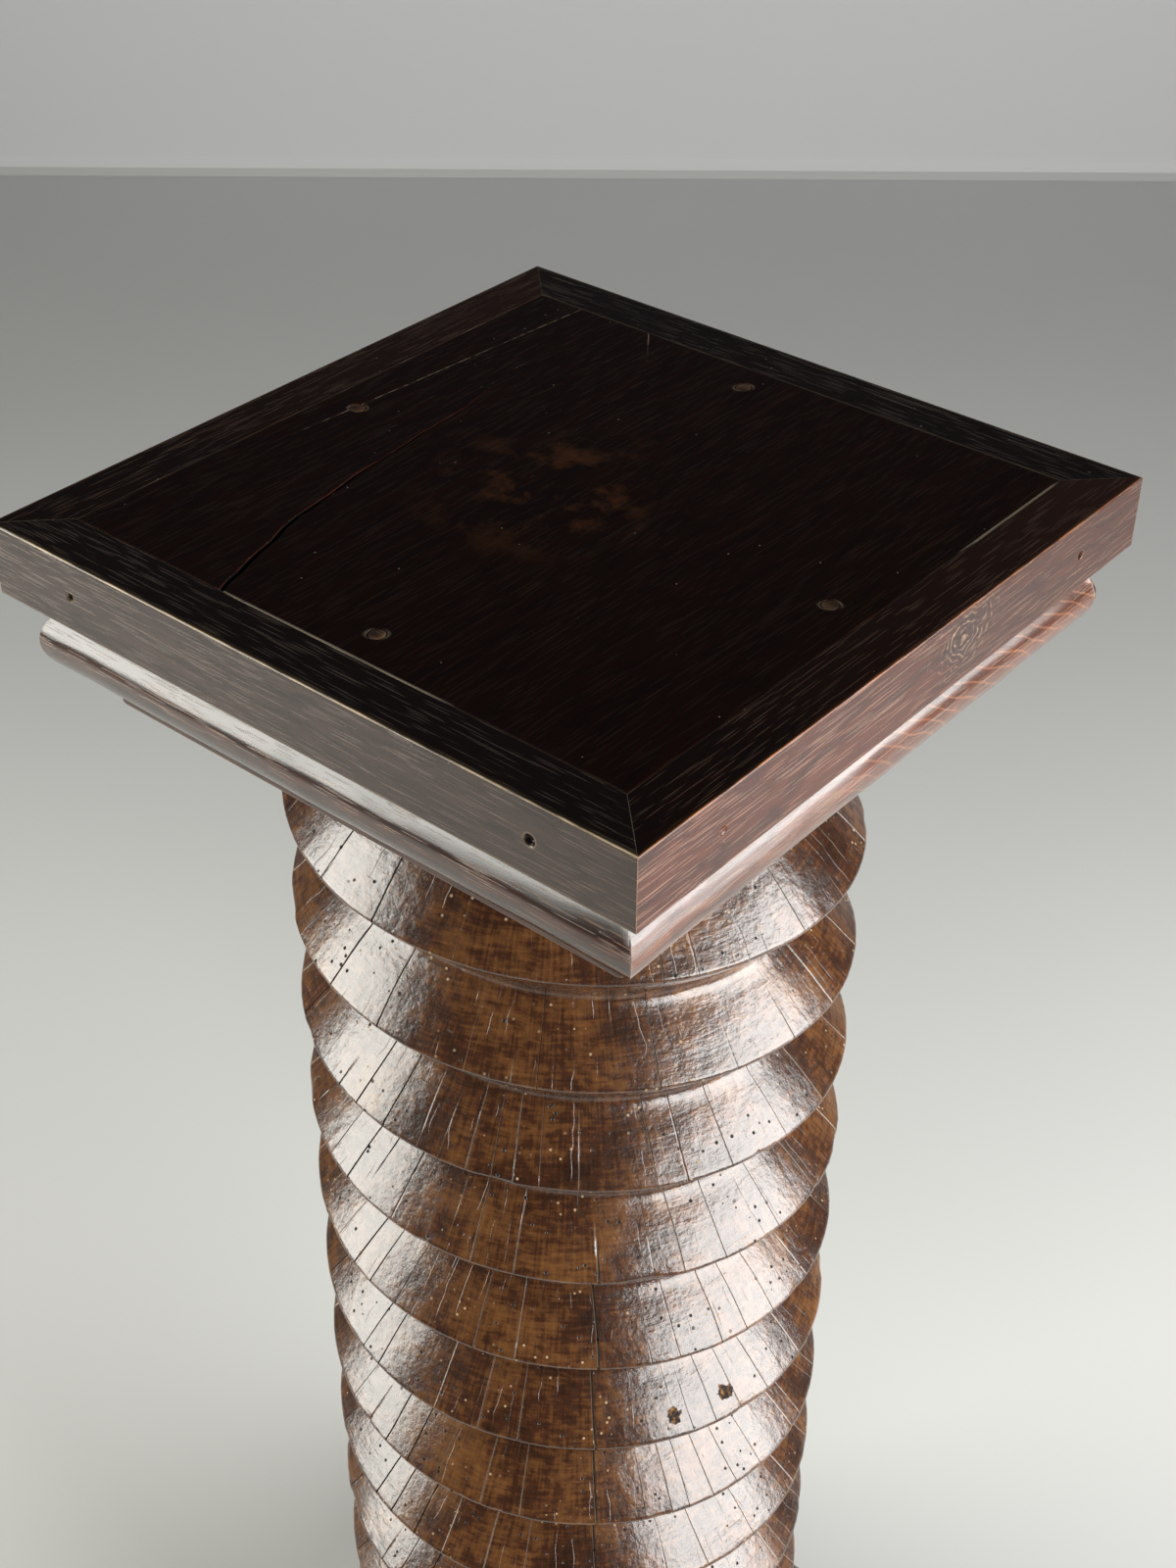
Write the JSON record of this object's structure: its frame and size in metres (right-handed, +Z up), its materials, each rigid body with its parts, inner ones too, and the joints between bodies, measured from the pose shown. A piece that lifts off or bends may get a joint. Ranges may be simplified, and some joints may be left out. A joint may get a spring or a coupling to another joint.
{
  "type": "pedestal",
  "caption": "Square-topped wooden pedestal: a thick left-hand threaded press-screw column between framed slabs with half-round mouldings.",
  "frame": {"origin": "middle of the underside of the base slab", "axes": "+Z up along the column; X and Y square to the slab's edges, with the top panel's grain along Y"},
  "size_m": [0.4, 0.4, 1.1],
  "materials": {
    "stained_oak": "near-black stained oak, open pores, waxed, worn at the arrises",
    "stained_moulding": "dark reddish-brown stained moulding, polished",
    "waxed_screw_wood": "old dark-brown hardwood, waxed and polished, with checks and worm holes",
    "plain_board": "unfinished softwood",
    "nail_iron": "rusted iron"
  },
  "bodies": {
    "root": {"base_bead_back": "stained_moulding", "base_bead_front": "stained_moulding", "base_bead_left": "stained_moulding", "base_bead_right": "stained_moulding", "base_core": "plain_board", "base_panel": "stained_oak", "base_plate": "stained_moulding", "base_rail_back": "stained_oak", "base_rail_front": "stained_oak", "base_rail_left": "stained_oak", "base_rail_right": "stained_oak", "panel_nails_base": "nail_iron", "panel_nails_top": "nail_iron", "panel_plugs": "stained_oak", "rail_nails_base": "nail_iron", "rail_nails_top": "nail_iron", "screw_column": "waxed_screw_wood", "top_bead_back": "stained_moulding", "top_bead_front": "stained_moulding", "top_bead_left": "stained_moulding", "top_bead_right": "stained_moulding", "top_core": "plain_board", "top_panel": "stained_oak", "top_plate": "stained_moulding", "top_rail_back": "stained_oak", "top_rail_front": "stained_oak", "top_rail_left": "stained_oak", "top_rail_right": "stained_oak"}
  },
  "joints": []
}
